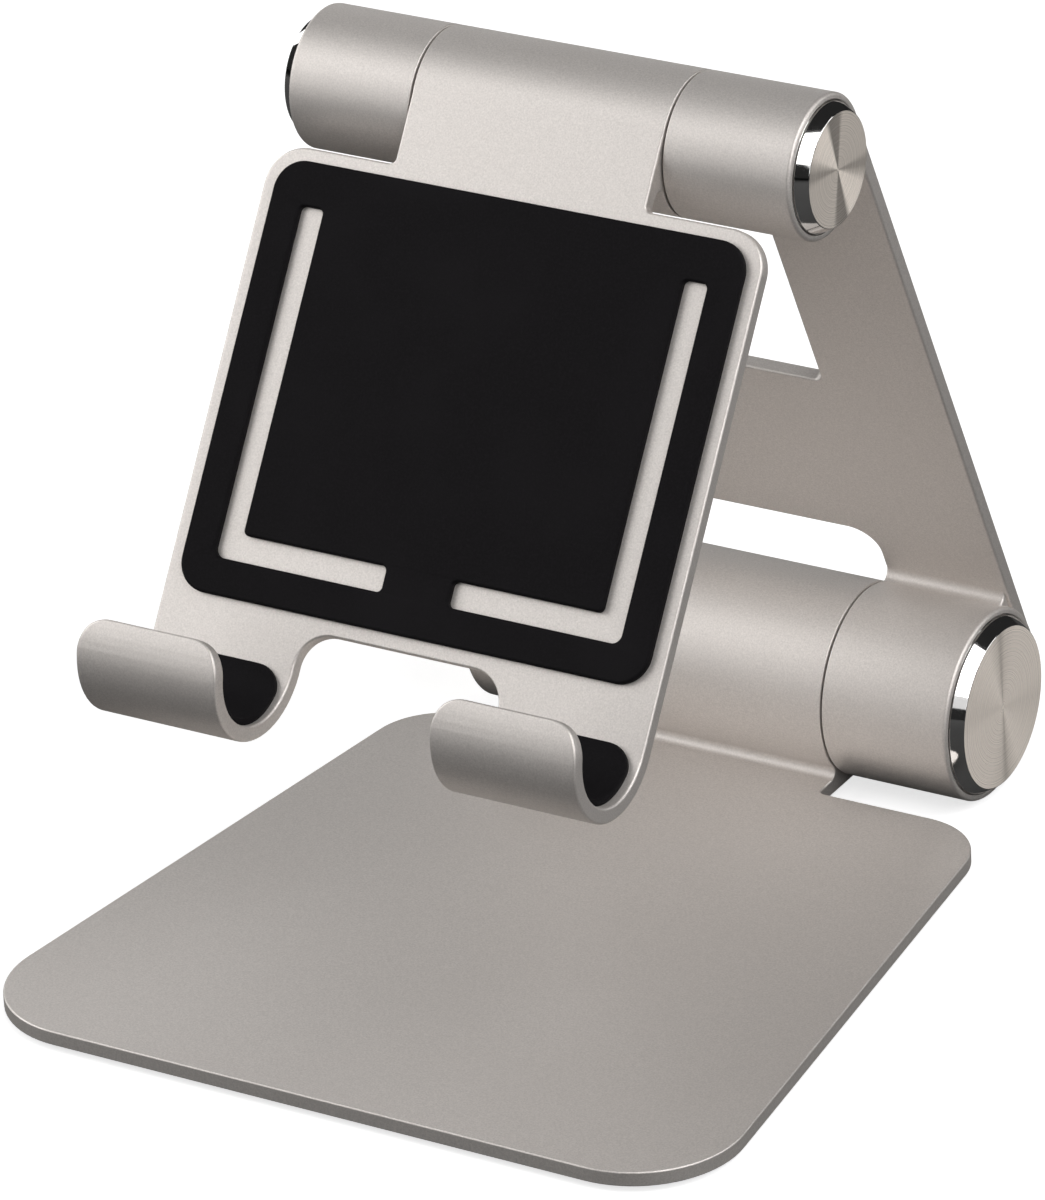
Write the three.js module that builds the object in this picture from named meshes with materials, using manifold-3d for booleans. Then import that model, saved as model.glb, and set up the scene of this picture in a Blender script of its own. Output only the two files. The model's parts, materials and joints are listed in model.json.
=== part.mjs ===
// Tablet stand: a flat base, an arm and a cradle with two hooks, joined by two friction hinges.
// Units are millimetres, +Z is up, +X runs along the hinges and the cradle faces -Y.
// The origin is under the middle of the stand, on the surface it stands on.

import * as THREE from 'three';
import { mergeVertices } from 'three/addons/utils/BufferGeometryUtils.js';
import Module from 'manifold-3d';

const wasm = await Module();
wasm.setup();

// ---- Driving dimensions ----

const PLATE = 2.5; // sheet thickness of the base, the arm and the cradle
const GAP = 0.3; // clearance between separate pieces
const KNUCKLE_HALF = 22.1; // half length of the middle barrel of each hinge
const EAR_INNER = 22.5; // where the arm's ears begin, just past the seam
const BARREL_SEGMENTS = 48;
const INNER_SEGMENTS = 20;
const ARC_DIVISIONS = 3; // a rounded corner has twice this many sides
const BEND_DIVISIONS = 8;

const BASE = {
  frontY: -76.5,
  rearY: 43.4,
  frontHalfWidth: 66.5,
  rearHalfWidth: 53.4,
  frontCornerRadius: 17,
  rearCornerRadius: 12,
  bottomZ: 1.3,
  neckCornerRadius: 1,
};

const FOOT = { radius: 7, thickness: 1.7, recess: 0.7, clearance: 0.15, inset: 15 };

// Each hinge: its barrel, the pocket in each ear, and the pieces that the shaft carries.
const LOWER_HINGE = {
  name: 'lower',
  barrelRadius: 16,
  earOuter: 45,
  shaftRadius: 6,
  bushRadius: 8.5,
  washerRadius: 11.5,
  pocketRadius: 14.95,
  capRadius: 14.8,
  capFaceRadius: 13.5,
  capProud: 2.1,
  nutAcrossFlats: 18,
};

const UPPER_HINGE = {
  name: 'upper',
  barrelRadius: 11.5,
  earOuter: 44.3,
  shaftRadius: 4,
  bushRadius: 6,
  washerRadius: 8,
  pocketRadius: 10.45,
  capRadius: 10.3,
  capFaceRadius: 9.1,
  capProud: 2.1,
  nutAcrossFlats: 13,
};

const LOWER_AXIS_Y = 60.5;
const LOWER_AXIS_Z = 16.8;
const ARM_LENGTH = 122.1; // from axis to axis, along the arm's plate
const ARM_LEAN = THREE.MathUtils.degToRad(24.65); // forward from upright
const CRADLE_LEAN = THREE.MathUtils.degToRad(33.5); // its top is tipped back by this much

const ARM = {
  lowerHalfWidth: 44.8,
  upperHalfWidth: 44.1,
  webBottom: 21,
  webTop: 57.8,
  slotCornerRadius: 5,
  openingCornerRadius: 1.5,
};

// Heights on the cradle are measured down its face from the upper hinge's axis.
const CRADLE = {
  halfWidth: 43.9,
  top: 13,
  topCornerRadius: 6.5,
  neckCornerRadius: 1,
  notchTop: 86,
  notchHalfWidth: 18,
  notchCornerRadius: 5.5,
  hookCentre: 93,
  hookInnerRadius: 9.5,
  lipTop: 91.7,
  lipInset: 0.8, // the lips are cut back by this much beside the notch
  lipCornerRadius: 5,
};

const PAD = {
  halfWidth: 41.5,
  top: 15.1,
  bottom: 83.6,
  cornerRadius: 5,
  thickness: 0.8,
  slotInner: 31.8,
  slotOuter: 36,
  slotTop: 22.1,
  slotBottomInner: 73.7,
  slotBottomOuter: 77.8,
  slotMiddle: 5.9,
  slotCornerRadius: 0.6,
};

const LINER = { inset: 1.5, top: 92.3, thickness: 0.8 };

// ---- Materials ----

function material(color, roughness, metalness) {
  return new THREE.MeshStandardMaterial({ color, roughness, metalness });
}

const satinAluminium = () => material(0xc8c4c1, 0.42, 0.9);
const spunMetal = () => material(0xc9c2b8, 0.22, 1);
const blackRubber = () => material(0x18171a, 0.8, 0);
const shaftSteel = () => material(0x8d8f92, 0.35, 1);
const bushBronze = () => material(0xa9793f, 0.4, 1);
const blackPolymer = () => material(0x1c1c1e, 0.55, 0);

// ---- Solids ----

function solidFrom(geometry) {
  const plain = geometry.index ? geometry.clone() : mergeVertices(geometry);
  plain.deleteAttribute('normal');
  plain.deleteAttribute('uv');
  const merged = mergeVertices(plain, 1e-4);
  return new wasm.Manifold(new wasm.Mesh({
    numProp: 3,
    vertProperties: Float32Array.from(merged.attributes.position.array),
    triVerts: Uint32Array.from(merged.index.array),
  }));
}

function geometryFrom(solid) {
  const mesh = solid.getMesh();
  const geometry = new THREE.BufferGeometry();
  geometry.setAttribute('position', new THREE.BufferAttribute(Float32Array.from(mesh.vertProperties), 3));
  geometry.setIndex(new THREE.BufferAttribute(Uint32Array.from(mesh.triVerts), 1));
  geometry.computeVertexNormals();
  return geometry;
}

function joined(solids) {
  return solids.reduce((whole, solid) => whole.add(solid));
}

// A closed outline from corners [x, y, radius]; a corner with no radius is sharp.
function roundedOutline(corners, path = new THREE.Shape()) {
  const count = corners.length;
  corners.forEach(([x, y, radius = 0], index) => {
    const corner = new THREE.Vector2(x, y);
    const previous = corners[(index + count - 1) % count];
    const next = corners[(index + 1) % count];
    const back = new THREE.Vector2(previous[0], previous[1]).sub(corner).normalize();
    const ahead = new THREE.Vector2(next[0], next[1]).sub(corner).normalize();
    const halfAngle = Math.acos(back.dot(ahead)) / 2;
    const reach = radius / Math.tan(halfAngle);
    const start = corner.clone().addScaledVector(back, reach);
    if (index === 0) path.moveTo(start.x, start.y);
    else path.lineTo(start.x, start.y);
    if (radius === 0) return;
    const middle = back.clone().add(ahead).normalize();
    const centre = corner.clone().addScaledVector(middle, radius / Math.sin(halfAngle));
    const end = corner.clone().addScaledVector(ahead, reach);
    const startAngle = start.clone().sub(centre).angle();
    const endAngle = end.clone().sub(centre).angle();
    path.absarc(centre.x, centre.y, radius, startAngle, endAngle, back.cross(ahead) > 0);
  });
  path.closePath();
  return path;
}

function extruded(shape, depth, curveSegments = ARC_DIVISIONS) {
  return new THREE.ExtrudeGeometry(shape, { depth, bevelEnabled: false, curveSegments });
}

// A plate with its outline in X and Z, between two values of Y.
function uprightPlate(shape, frontY, backY) {
  return extruded(shape, backY - frontY).rotateX(Math.PI / 2).translate(0, backY, 0);
}

// A bar with its section in Y and Z, between two values of X.
function barAlongX(section, fromX, toX, divisions) {
  const turn = new THREE.Matrix4().makeBasis(
    new THREE.Vector3(0, 1, 0),
    new THREE.Vector3(0, 0, 1),
    new THREE.Vector3(1, 0, 0),
  );
  return extruded(section, toX - fromX, divisions).applyMatrix4(turn).translate(fromX, 0, 0);
}

// A round piece about the X axis from its profile [x, radius], which closes on itself or on the axis.
function turned(profile, segments) {
  const points = profile.map(([x, radius]) => new THREE.Vector2(radius, x));
  return new THREE.LatheGeometry(points, segments).rotateZ(-Math.PI / 2);
}

function ring(fromX, toX, inner, outer, segments) {
  return turned([[fromX, inner], [fromX, outer], [toX, outer], [toX, inner], [fromX, inner]], segments);
}

function rod(fromX, toX, radius, segments) {
  return turned([[fromX, 0], [fromX, radius], [toX, radius], [toX, 0]], segments);
}

// A piece about the X axis, turned round to the other side of the middle plane.
function otherSide(geometry) {
  return geometry.clone().rotateZ(Math.PI);
}

function named(name, geometry, surface) {
  const mesh = new THREE.Mesh(geometry, surface);
  mesh.name = name;
  return mesh;
}

// ---- Hinge pieces, all about the X axis ----

const SEAM_CHAMFER = 0.3;
const BORE_CLEARANCE = 0.15;
const WEB_THICKNESS = 7.5; // inner wall of an ear, which holds the bush
const THRUST_WASHER = { depth: 1.6, proud: 0.2 };
const DISC_THICKNESS = 1.5;
const SPRING = { dish: 1.2, thickness: 1.2 };
const NUT_THICKNESS = 5;
const THREAD_CHAMFER = 0.6;
const CAP = { plugDepth: 1.7, groove: 0.5 };

function earSolid(hinge, side) {
  const { barrelRadius, bushRadius, pocketRadius, earOuter } = hinge;
  const web = EAR_INNER + WEB_THICKNESS;
  const chamfer = 0.6;
  const profile = [
    [EAR_INNER, bushRadius + BORE_CLEARANCE],
    [EAR_INNER, barrelRadius - SEAM_CHAMFER],
    [EAR_INNER + SEAM_CHAMFER, barrelRadius],
    [earOuter - chamfer, barrelRadius],
    [earOuter, barrelRadius - chamfer],
    [earOuter, pocketRadius],
    [web, pocketRadius],
    [web, bushRadius + BORE_CLEARANCE],
    [EAR_INNER, bushRadius + BORE_CLEARANCE],
  ];
  const ear = turned(profile, BARREL_SEGMENTS);
  return solidFrom(side > 0 ? ear : otherSide(ear));
}

function knuckleBlank(hinge) {
  return solidFrom(turned([
    [-KNUCKLE_HALF, 0],
    [-KNUCKLE_HALF, hinge.barrelRadius - SEAM_CHAMFER],
    [-KNUCKLE_HALF + SEAM_CHAMFER, hinge.barrelRadius],
    [KNUCKLE_HALF - SEAM_CHAMFER, hinge.barrelRadius],
    [KNUCKLE_HALF, hinge.barrelRadius - SEAM_CHAMFER],
    [KNUCKLE_HALF, 0],
  ], BARREL_SEGMENTS));
}

// The middle barrel's bore, with a seat for a thrust washer at each end.
function knuckleBore(hinge) {
  const { shaftRadius, washerRadius } = hinge;
  const past = KNUCKLE_HALF + 1;
  const seat = KNUCKLE_HALF - THRUST_WASHER.depth - GAP;
  return solidFrom(turned([
    [-past, 0],
    [-past, washerRadius + BORE_CLEARANCE],
    [-seat, washerRadius + BORE_CLEARANCE],
    [-seat, shaftRadius + BORE_CLEARANCE],
    [seat, shaftRadius + BORE_CLEARANCE],
    [seat, washerRadius + BORE_CLEARANCE],
    [past, washerRadius + BORE_CLEARANCE],
    [past, 0],
  ], INNER_SEGMENTS));
}

// Where each piece on the shaft starts, working outwards from the ear's inner wall.
function stackPositions() {
  const friction = EAR_INNER + WEB_THICKNESS + GAP;
  const spring = friction + DISC_THICKNESS + GAP;
  const pressure = spring + SPRING.dish + SPRING.thickness + GAP;
  const nut = pressure + DISC_THICKNESS + GAP;
  return { friction, spring, pressure, nut, nutEnd: nut + NUT_THICKNESS };
}

function shaft(hinge) {
  const { nutEnd } = stackPositions();
  return turned([
    [-nutEnd, 0],
    [-nutEnd, hinge.shaftRadius - THREAD_CHAMFER],
    [-nutEnd + THREAD_CHAMFER, hinge.shaftRadius],
    [nutEnd - THREAD_CHAMFER, hinge.shaftRadius],
    [nutEnd, hinge.shaftRadius - THREAD_CHAMFER],
    [nutEnd, 0],
  ], INNER_SEGMENTS);
}

function discSpring(hinge) {
  const { spring } = stackPositions();
  const inner = hinge.shaftRadius + BORE_CLEARANCE;
  const outer = hinge.washerRadius;
  const { dish, thickness } = SPRING;
  return turned([
    [spring + dish, inner],
    [spring, outer],
    [spring + thickness, outer],
    [spring + dish + thickness, inner],
    [spring + dish, inner],
  ], INNER_SEGMENTS);
}

function hexNut(hinge) {
  const { nut, nutEnd } = stackPositions();
  const corner = hinge.nutAcrossFlats / Math.sqrt(3);
  const outline = new THREE.Shape();
  for (let side = 0; side < 6; side += 1) {
    const angle = (side * Math.PI) / 3;
    const y = corner * Math.cos(angle);
    const z = corner * Math.sin(angle);
    if (side === 0) outline.moveTo(y, z);
    else outline.lineTo(y, z);
  }
  outline.closePath();
  const blank = solidFrom(barAlongX(outline, nut, nutEnd));
  const bore = solidFrom(rod(nut - 1, nutEnd + 1, hinge.shaftRadius + BORE_CLEARANCE, INNER_SEGMENTS));
  return geometryFrom(blank.subtract(bore));
}

// A plug in the ear's pocket with a thin groove at the ear's edge and a bevelled disc outside it.
function endCap(hinge) {
  const { earOuter, capRadius, capFaceRadius, capProud } = hinge;
  const { plugDepth, groove } = CAP;
  const face = earOuter + capProud;
  return turned([
    [earOuter - plugDepth, 0],
    [earOuter - plugDepth, capRadius],
    [earOuter - groove, capRadius],
    [earOuter - groove, capRadius - groove],
    [earOuter, capRadius - groove],
    [earOuter, capRadius],
    [face, capFaceRadius],
    [face, 0],
  ], BARREL_SEGMENTS);
}

// The pieces of one hinge in three sets, by what they turn with.
function hingePieces(hinge) {
  const { shaftRadius, bushRadius, washerRadius } = hinge;
  const { friction, pressure } = stackPositions();
  const bore = shaftRadius + BORE_CLEARANCE;
  const seat = KNUCKLE_HALF - THRUST_WASHER.depth;
  const thrustEnd = KNUCKLE_HALF + THRUST_WASHER.proud;
  const sets = {
    thrust_washer: [ring(seat, thrustEnd, bore, washerRadius, INNER_SEGMENTS), blackPolymer],
    bush: [ring(EAR_INNER + GAP, EAR_INNER + WEB_THICKNESS - GAP, bore, bushRadius, INNER_SEGMENTS), bushBronze],
    friction_disc: [ring(friction, friction + DISC_THICKNESS, bore, washerRadius, INNER_SEGMENTS), bushBronze],
    disc_spring: [discSpring(hinge), shaftSteel],
    pressure_washer: [ring(pressure, pressure + DISC_THICKNESS, bore, washerRadius, INNER_SEGMENTS), shaftSteel],
    nut: [hexNut(hinge), shaftSteel],
    end_cap: [endCap(hinge), spunMetal],
  };
  const earPieces = ['bush', 'friction_disc', 'end_cap'];
  const withEars = [];
  const withShaft = [named(`${hinge.name}_shaft`, shaft(hinge), shaftSteel())];
  for (const [kind, [geometry, surface]] of Object.entries(sets)) {
    const target = earPieces.includes(kind) ? withEars : withShaft;
    target.push(named(`${hinge.name}_${kind}_right`, geometry, surface()));
    target.push(named(`${hinge.name}_${kind}_left`, otherSide(geometry), surface()));
  }
  return { withEars, withShaft };
}

// ---- Base ----

function basePlate() {
  const { frontY, rearY, frontHalfWidth, rearHalfWidth, neckCornerRadius } = BASE;
  const outline = roundedOutline([
    [-frontHalfWidth, frontY, BASE.frontCornerRadius],
    [frontHalfWidth, frontY, BASE.frontCornerRadius],
    [rearHalfWidth, rearY, BASE.rearCornerRadius],
    [KNUCKLE_HALF, rearY, neckCornerRadius],
    [KNUCKLE_HALF, LOWER_AXIS_Y],
    [-KNUCKLE_HALF, LOWER_AXIS_Y],
    [-KNUCKLE_HALF, rearY, neckCornerRadius],
    [-rearHalfWidth, rearY, BASE.rearCornerRadius],
  ]);
  const plate = solidFrom(extruded(outline, PLATE).translate(0, 0, BASE.bottomZ));
  const knuckle = knuckleBlank(LOWER_HINGE).translate([0, LOWER_AXIS_Y, LOWER_AXIS_Z]);
  const bore = knuckleBore(LOWER_HINGE).translate([0, LOWER_AXIS_Y, LOWER_AXIS_Z]);
  const recesses = footCentres().map(([x, y]) => footDisc(
    x, y, FOOT.radius + FOOT.clearance, BASE.bottomZ - 1, BASE.bottomZ + FOOT.recess,
  ));
  return geometryFrom(plate.add(knuckle).subtract(bore).subtract(joined(recesses.map(solidFrom))));
}

function footCentres() {
  const { frontY, rearY, frontHalfWidth, rearHalfWidth } = BASE;
  const taper = (frontHalfWidth - rearHalfWidth) / (rearY - frontY);
  const frontX = frontHalfWidth - FOOT.inset - taper * FOOT.inset;
  const rearX = rearHalfWidth - FOOT.inset + taper * FOOT.inset;
  const front = frontY + FOOT.inset;
  const rear = rearY - FOOT.inset;
  return [[-frontX, front], [frontX, front], [rearX, rear], [-rearX, rear]];
}

function footDisc(x, y, radius, fromZ, toZ) {
  const disc = new THREE.CylinderGeometry(radius, radius, toZ - fromZ, INNER_SEGMENTS).rotateX(Math.PI / 2);
  return disc.translate(x, y, (fromZ + toZ) / 2);
}

function feet() {
  const places = ['front_left', 'front_right', 'rear_right', 'rear_left'];
  return footCentres().map(([x, y], index) => named(
    `foot_${places[index]}`, footDisc(x, y, FOOT.radius, 0, FOOT.thickness), blackRubber(),
  ));
}

// ---- Arm, in its own frame: the lower axis is X, and Z runs up the plate ----

const UPPER_AXIS_IN_ARM = [0, LOWER_HINGE.barrelRadius - UPPER_HINGE.barrelRadius, ARM_LENGTH];

function armPlate() {
  const { lowerHalfWidth, upperHalfWidth, webBottom, webTop, slotCornerRadius, openingCornerRadius } = ARM;
  const outline = roundedOutline([
    [-lowerHalfWidth, 0],
    [-EAR_INNER, 0],
    [-EAR_INNER, webBottom, slotCornerRadius],
    [EAR_INNER, webBottom, slotCornerRadius],
    [EAR_INNER, 0],
    [lowerHalfWidth, 0],
    [upperHalfWidth, ARM_LENGTH],
    [EAR_INNER, ARM_LENGTH],
    [EAR_INNER, webTop, openingCornerRadius],
    [-EAR_INNER, webTop, openingCornerRadius],
    [-EAR_INNER, ARM_LENGTH],
    [-upperHalfWidth, ARM_LENGTH],
  ]);
  const rearY = LOWER_HINGE.barrelRadius;
  const plate = solidFrom(uprightPlate(outline, rearY - PLATE, rearY));
  const lowerEars = [1, -1].map((side) => earSolid(LOWER_HINGE, side));
  const upperEars = [1, -1].map((side) => earSolid(UPPER_HINGE, side).translate(UPPER_AXIS_IN_ARM));
  const hollows = [1, -1].flatMap((side) => [
    pocketHollow(LOWER_HINGE, side),
    pocketHollow(UPPER_HINGE, side).translate(UPPER_AXIS_IN_ARM),
  ]);
  return geometryFrom(plate.subtract(joined(hollows)).add(joined([...lowerEars, ...upperEars])));
}

// The space inside an ear, which the plate must not fill.
function pocketHollow(hinge, side) {
  const inner = EAR_INNER + WEB_THICKNESS;
  const outer = hinge.earOuter + 1;
  const hollow = rod(inner, outer, hinge.pocketRadius, BARREL_SEGMENTS);
  return solidFrom(side > 0 ? hollow : otherSide(hollow));
}

// ---- Cradle, in its own frame: the upper axis is X, and Z runs up the plate ----

const CRADLE_FRONT = -UPPER_HINGE.barrelRadius;

function cradleFlat() {
  const { halfWidth, top, notchTop, notchHalfWidth, hookCentre } = CRADLE;
  const outline = roundedOutline([
    [-KNUCKLE_HALF, 0],
    [-KNUCKLE_HALF, -top, CRADLE.neckCornerRadius],
    [-halfWidth, -top, CRADLE.topCornerRadius],
    [-halfWidth, -hookCentre],
    [-notchHalfWidth, -hookCentre],
    [-notchHalfWidth, -notchTop, CRADLE.notchCornerRadius],
    [notchHalfWidth, -notchTop, CRADLE.notchCornerRadius],
    [notchHalfWidth, -hookCentre],
    [halfWidth, -hookCentre],
    [halfWidth, -top, CRADLE.topCornerRadius],
    [KNUCKLE_HALF, -top, CRADLE.neckCornerRadius],
    [KNUCKLE_HALF, 0],
  ]);
  return solidFrom(uprightPlate(outline, CRADLE_FRONT, CRADLE_FRONT + PLATE));
}

// A band bent round the hook's centre: up the plate behind it, and up the lip in front of it.
function hookBand(innerRadius, outerRadius, rearTop, lipTop) {
  const centreY = CRADLE_FRONT - CRADLE.hookInnerRadius;
  const centreZ = -CRADLE.hookCentre;
  const section = new THREE.Shape();
  section.moveTo(centreY + outerRadius, -rearTop);
  section.lineTo(centreY + outerRadius, centreZ);
  section.absarc(centreY, centreZ, outerRadius, 0, Math.PI, true);
  section.lineTo(centreY - outerRadius, -lipTop);
  section.lineTo(centreY - innerRadius, -lipTop);
  section.lineTo(centreY - innerRadius, centreZ);
  section.absarc(centreY, centreZ, innerRadius, Math.PI, 0, false);
  section.lineTo(centreY + innerRadius, -rearTop);
  section.closePath();
  return section;
}

// A hook is cut to its lip's outline in front of its centre, and is as wide as its tab behind it.
function hook(side) {
  const { halfWidth, notchHalfWidth, hookCentre, hookInnerRadius, lipTop, lipInset } = CRADLE;
  const near = side > 0 ? notchHalfWidth : -halfWidth;
  const far = side > 0 ? halfWidth : -notchHalfWidth;
  const lipNear = side > 0 ? near + lipInset : near;
  const lipFar = side > 0 ? far : far - lipInset;
  const outerRadius = hookInnerRadius + PLATE;
  const section = hookBand(hookInnerRadius, outerRadius, hookCentre - 1, lipTop);
  const band = solidFrom(barAlongX(section, near, far, BEND_DIVISIONS));
  const centreY = CRADLE_FRONT - hookInnerRadius;
  const below = hookCentre + 2 * outerRadius;
  const lipOutline = roundedOutline([
    [lipNear, -below],
    [lipFar, -below],
    [lipFar, -lipTop, CRADLE.lipCornerRadius],
    [lipNear, -lipTop, CRADLE.lipCornerRadius],
  ]);
  const lip = solidFrom(uprightPlate(lipOutline, centreY - 2 * outerRadius, centreY));
  const tabOutline = roundedOutline([[near, -below], [far, -below], [far, 0], [near, 0]]);
  const tab = solidFrom(uprightPlate(tabOutline, centreY, 0));
  return band.intersect(lip.add(tab));
}

function cradlePlate() {
  const blank = joined([cradleFlat(), hook(1), hook(-1), knuckleBlank(UPPER_HINGE)]);
  return geometryFrom(blank.subtract(knuckleBore(UPPER_HINGE)));
}

// An L-shaped slot down one side of the pad and along its bottom.
function padSlot(side) {
  const { slotInner, slotOuter, slotTop, slotBottomInner, slotBottomOuter, slotMiddle, slotCornerRadius } = PAD;
  return roundedOutline([
    [side * slotInner, -slotTop, slotCornerRadius],
    [side * slotOuter, -slotTop, slotCornerRadius],
    [side * slotOuter, -slotBottomOuter, 2 * slotCornerRadius],
    [side * slotMiddle, -slotBottomOuter, slotCornerRadius],
    [side * slotMiddle, -slotBottomInner, slotCornerRadius],
    [side * slotInner, -slotBottomInner, slotCornerRadius],
  ], new THREE.Path());
}

function cradlePad() {
  const { halfWidth, top, bottom, cornerRadius, thickness } = PAD;
  const outline = roundedOutline([
    [-halfWidth, -bottom, cornerRadius],
    [halfWidth, -bottom, cornerRadius],
    [halfWidth, -top, cornerRadius],
    [-halfWidth, -top, cornerRadius],
  ]);
  outline.holes.push(padSlot(1), padSlot(-1));
  const backY = CRADLE_FRONT - GAP;
  return geometryFrom(solidFrom(uprightPlate(outline, backY - thickness, backY)));
}

function hookLiner(side) {
  const { halfWidth, notchHalfWidth, hookInnerRadius } = CRADLE;
  const near = side > 0 ? notchHalfWidth + LINER.inset : -halfWidth + LINER.inset;
  const far = side > 0 ? halfWidth - LINER.inset : -notchHalfWidth - LINER.inset;
  const outerRadius = hookInnerRadius - GAP;
  const section = hookBand(outerRadius - LINER.thickness, outerRadius, LINER.top, LINER.top);
  return barAlongX(section, near, far, BEND_DIVISIONS);
}

// ---- Assembly ----

const stand = new THREE.Group();
const lowerHinge = hingePieces(LOWER_HINGE);
const upperHinge = hingePieces(UPPER_HINGE);

// The lower shaft stays with the base, and the upper one with the cradle: each middle barrel holds its own.
const lowerShaftGroup = new THREE.Group();
lowerShaftGroup.position.set(0, LOWER_AXIS_Y, LOWER_AXIS_Z);
lowerShaftGroup.add(...lowerHinge.withShaft);

const upperEarGroup = new THREE.Group();
upperEarGroup.position.set(...UPPER_AXIS_IN_ARM);
upperEarGroup.add(...upperHinge.withEars);

const cradle = new THREE.Group();
cradle.position.set(...UPPER_AXIS_IN_ARM);
cradle.rotation.x = -(ARM_LEAN + CRADLE_LEAN);
cradle.add(
  named('cradle_plate', cradlePlate(), satinAluminium()),
  named('cradle_pad', cradlePad(), blackRubber()),
  named('hook_liner_right', hookLiner(1), blackRubber()),
  named('hook_liner_left', hookLiner(-1), blackRubber()),
  ...upperHinge.withShaft,
);

const arm = new THREE.Group();
arm.position.set(0, LOWER_AXIS_Y, LOWER_AXIS_Z);
arm.rotation.x = ARM_LEAN;
arm.add(named('arm_plate', armPlate(), satinAluminium()), ...lowerHinge.withEars, upperEarGroup, cradle);

stand.add(named('base_plate', basePlate(), satinAluminium()), ...feet(), lowerShaftGroup, arm);

export default stand;
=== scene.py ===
"""Tablet stand: the looks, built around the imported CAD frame.

The stand's sizes are in millimetres until place() puts a finished mesh into the row frame. The record's
places and the room are in metres.
"""

import json
import math

import bmesh
import bpy
from mathutils import Matrix, Vector
from mathutils.geometry import tessellate_polygon


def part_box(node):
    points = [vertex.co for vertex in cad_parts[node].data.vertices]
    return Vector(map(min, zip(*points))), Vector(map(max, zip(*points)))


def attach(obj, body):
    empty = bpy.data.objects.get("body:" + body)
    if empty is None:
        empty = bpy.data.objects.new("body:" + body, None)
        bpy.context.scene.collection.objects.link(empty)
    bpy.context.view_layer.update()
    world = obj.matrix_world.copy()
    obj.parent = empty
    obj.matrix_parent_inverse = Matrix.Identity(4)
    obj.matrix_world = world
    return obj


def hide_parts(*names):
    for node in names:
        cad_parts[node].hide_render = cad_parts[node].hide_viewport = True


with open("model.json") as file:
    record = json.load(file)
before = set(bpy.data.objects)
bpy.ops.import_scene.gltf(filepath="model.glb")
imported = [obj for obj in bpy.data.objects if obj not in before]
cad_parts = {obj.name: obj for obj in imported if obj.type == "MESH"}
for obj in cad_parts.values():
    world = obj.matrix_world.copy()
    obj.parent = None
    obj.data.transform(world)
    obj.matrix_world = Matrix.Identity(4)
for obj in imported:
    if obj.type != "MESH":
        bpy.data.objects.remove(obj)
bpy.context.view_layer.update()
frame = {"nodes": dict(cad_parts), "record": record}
record = frame["record"]

MM = 0.001
STEP = 5.0  # degrees between the points of a round corner
TURN_SEGMENTS = 144
SMALL_TURN_SEGMENTS = 72
RIM_STEPS = 4  # facets in a rounded edge
SMOOTH_ANGLE = math.radians(38)
SAME_PLANE_ANGLE = math.radians(0.5)
ON_AXIS = 1e-6  # a smaller radius counts as none
MITRE_LIMIT = 0.3  # keeps the inset of a sharp corner short
WELD = 1e-5  # points closer than this become one
SHORTEST_EDGE = 2e-4

# ---- Sizes, in millimetres ----

PLATE = 2.5
CLEARANCE = 0.15
APART = 0.02  # between faces that would otherwise lie in one plane
OVERRUN = 1  # how far a cutting shape runs past the face that it cuts
TUCK = 0.2  # how far short of an axis a plate ends, inside its barrel
KNUCKLE = 22.1
EAR = 22.5
EDGE = 0.4  # rounding of the plates' edges
SEAM_EDGE = 0.2
EAR_EDGE = 0.6

LOWER = {"name": "lower", "barrel": 16.0, "end": 45.0, "pocket": 14.95, "cap": 14.8, "cap_face": 13.5,
         "shaft": 6.0, "washer": 11.5, "bush": 8.5}
UPPER = {"name": "upper", "barrel": 11.5, "end": 44.3, "pocket": 10.45, "cap": 10.3, "cap_face": 9.1,
         "shaft": 4.0, "washer": 8.0, "bush": 6.0}
FOOT_PLACES = ("front_left", "front_right", "rear_right", "rear_left")
CAP = {"proud": 2.1, "plug": 1.7, "groove": 0.5, "groove_depth": 0.45, "shoulder_edge": 0.12,
       "face_edge": 0.2}
WASHER_SEAT = 1.9
POCKET_EDGE = 0.2
INNER_EDGE = 0.15
SPRING_DISH = 1.2
EAR_WEB = 7.5
ARM_LENGTH = 122.1

BASE = {"front": -76.5, "rear": 43.4, "front_half": 66.5, "rear_half": 53.4, "bottom": 1.3,
        "front_corner": 17, "rear_corner": 12, "notch_corner": 1, "bottom_edge": 0.25, "top_edge": 0.3,
        "fillet": 1.3}
FOOT = {"radius": 7.0, "recess": 0.7, "side_gap": 0.05, "dish": 0.35, "dish_radius": 4.4, "dish_rim": 4.9,
        "edges": (0.3, 0.2, 0.45, 0.1)}
ARM = {"lower_half": 44.8, "upper_half": 44.1, "web_bottom": 21.0, "web_top": 57.8, "slot_corner": 5,
       "opening_corner": 1.5, "fillet": 1.5, "fillet_gap": 0.05}
CRADLE = {"half": 43.9, "top": 13.0, "notch_top": 86.0, "notch_half": 18.0, "hook_centre": 93.0,
          "hook_inner": 9.5, "lip_rise": 1.3, "lip_inset": 0.8, "notch_corner": 5.5, "lip_corner": 5,
          "top_corner": 6.5, "neck_corner": 1, "fillet": 1.5}
PAD = {"half": 41.5, "top": 15.1, "bottom": 83.6, "thickness": 1.1, "corner": 5, "edge": 0.45}
SLOT = {"inner": 31.8, "outer": 36.0, "top": 22.1, "bottom_inner": 73.7, "bottom_outer": 77.8, "middle": 5.9,
        "corner": 0.9, "outer_corner": 1.6}
LINER = {"inset": 1.5, "thickness": 0.95, "corner": 4.5, "edge": 0.3, "above_bend": 0.7, "below_lip": 0.6}

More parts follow.
